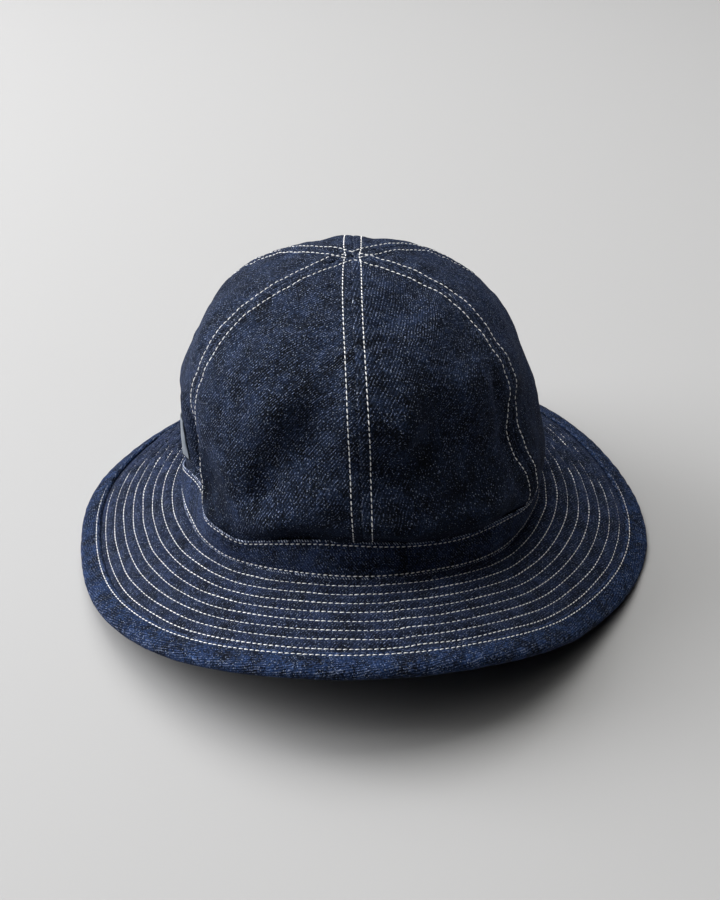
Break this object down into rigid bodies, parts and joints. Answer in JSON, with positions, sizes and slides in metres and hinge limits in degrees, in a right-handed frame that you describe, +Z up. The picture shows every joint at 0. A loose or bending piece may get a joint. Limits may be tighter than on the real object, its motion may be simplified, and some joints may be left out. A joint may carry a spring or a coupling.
{
  "type": "denim army hat",
  "caption": "Soft denim hat with a gored dome crown, a narrow band and a stitched, downturned brim, standing on its brim edge.",
  "frame": {"origin": "centre of the hat's box, on the floor it stands on", "axes": "+Z up, the front of the hat towards -Y, +X towards the right as seen from in front"},
  "size_m": [0.294, 0.3224, 0.1545],
  "materials": {
    "raw_denim": "dark indigo twill with pale flecks, matt",
    "raw_denim_quilted": "dark indigo twill in rows of ivory stitching, matt",
    "raw_denim_folded": "indigo twill, folded on the bias, slightly fuzzy",
    "woven_tape": "plain pale woven tape, bare"
  },
  "bodies": {
    "root": {"crown_panel_front_left": "raw_denim", "crown_panel_front_right": "raw_denim", "crown_panel_side_left": "raw_denim", "crown_panel_side_right": "raw_denim", "crown_panel_back_left": "raw_denim", "crown_panel_back_right": "raw_denim", "hat_band": "raw_denim", "brim": "raw_denim_quilted", "brim_binding": "raw_denim_folded", "side_label": "woven_tape"}
  },
  "joints": []
}
